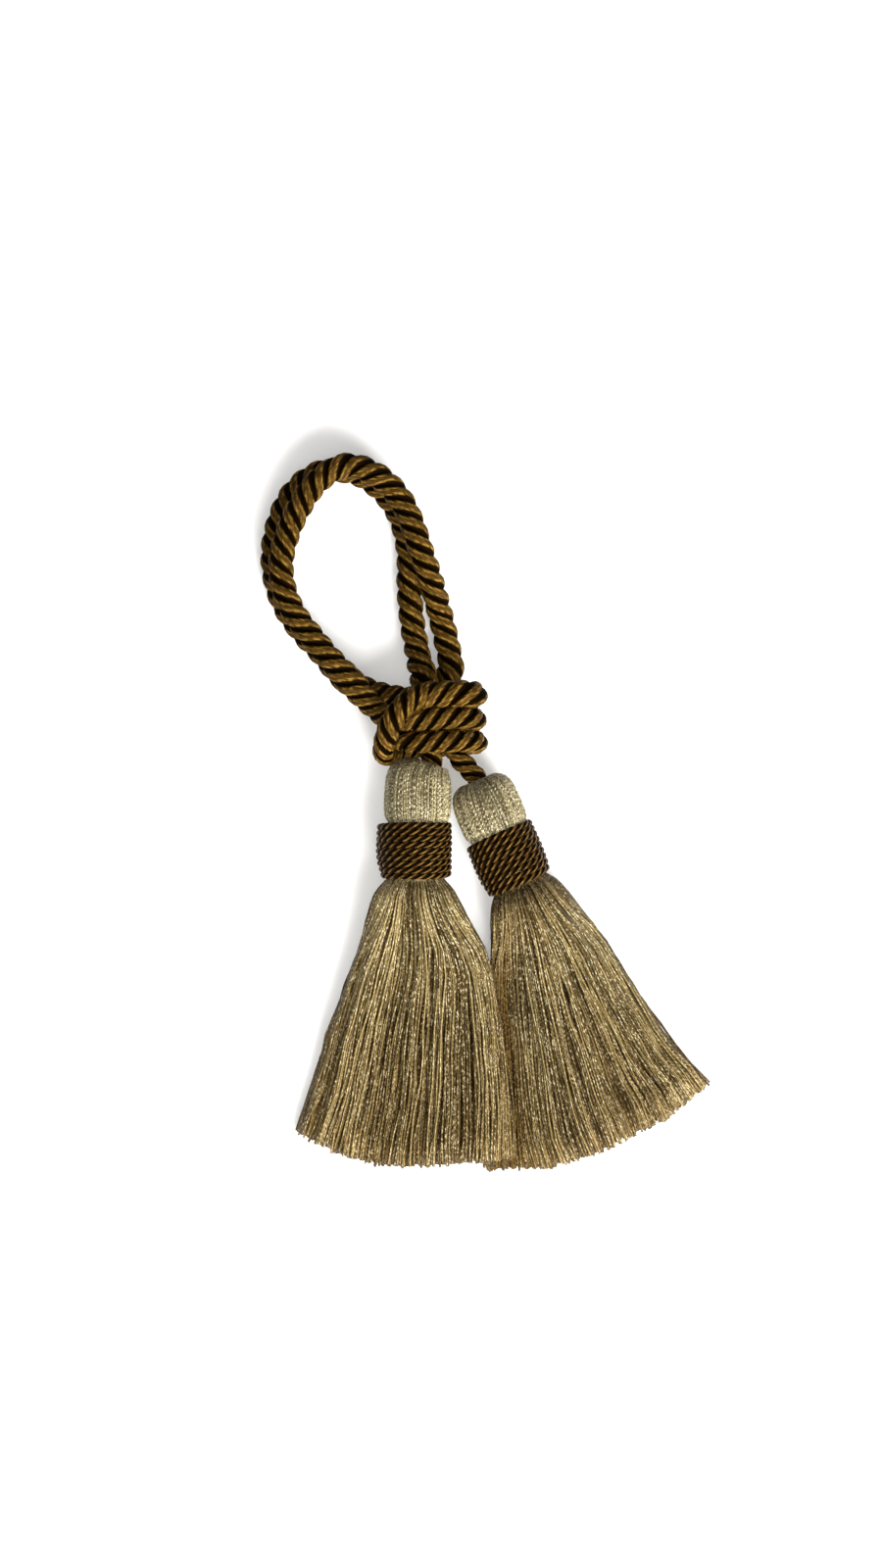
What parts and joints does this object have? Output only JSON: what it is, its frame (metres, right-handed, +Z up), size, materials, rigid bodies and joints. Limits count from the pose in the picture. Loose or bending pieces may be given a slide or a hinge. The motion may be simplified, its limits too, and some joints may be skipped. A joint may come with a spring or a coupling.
{
  "type": "silk tassel",
  "caption": "Silk key tassel: twisted rope doubled into a loop and knotted, with a bound, full-skirted tassel on each end, lying flat.",
  "frame": {"origin": "on the surface it lies on, under the middle of the pair of tassels", "axes": "+Z up from the surface, +Y from the skirts to the rope's loop, +X to the right across the pair"},
  "size_m": [0.1026, 0.1656, 0.0187],
  "materials": {
    "rope": "glossy twisted rope of dark bronze-brown silk yarn",
    "silk": "champagne silk yarn with a soft lustre",
    "binding": "dark brown three-ply cord, closely wound"
  },
  "bodies": {
    "root": {"rope": "rope", "left_tassel": "silk", "right_tassel": "silk", "left_binding": "binding", "right_binding": "binding"}
  },
  "joints": []
}
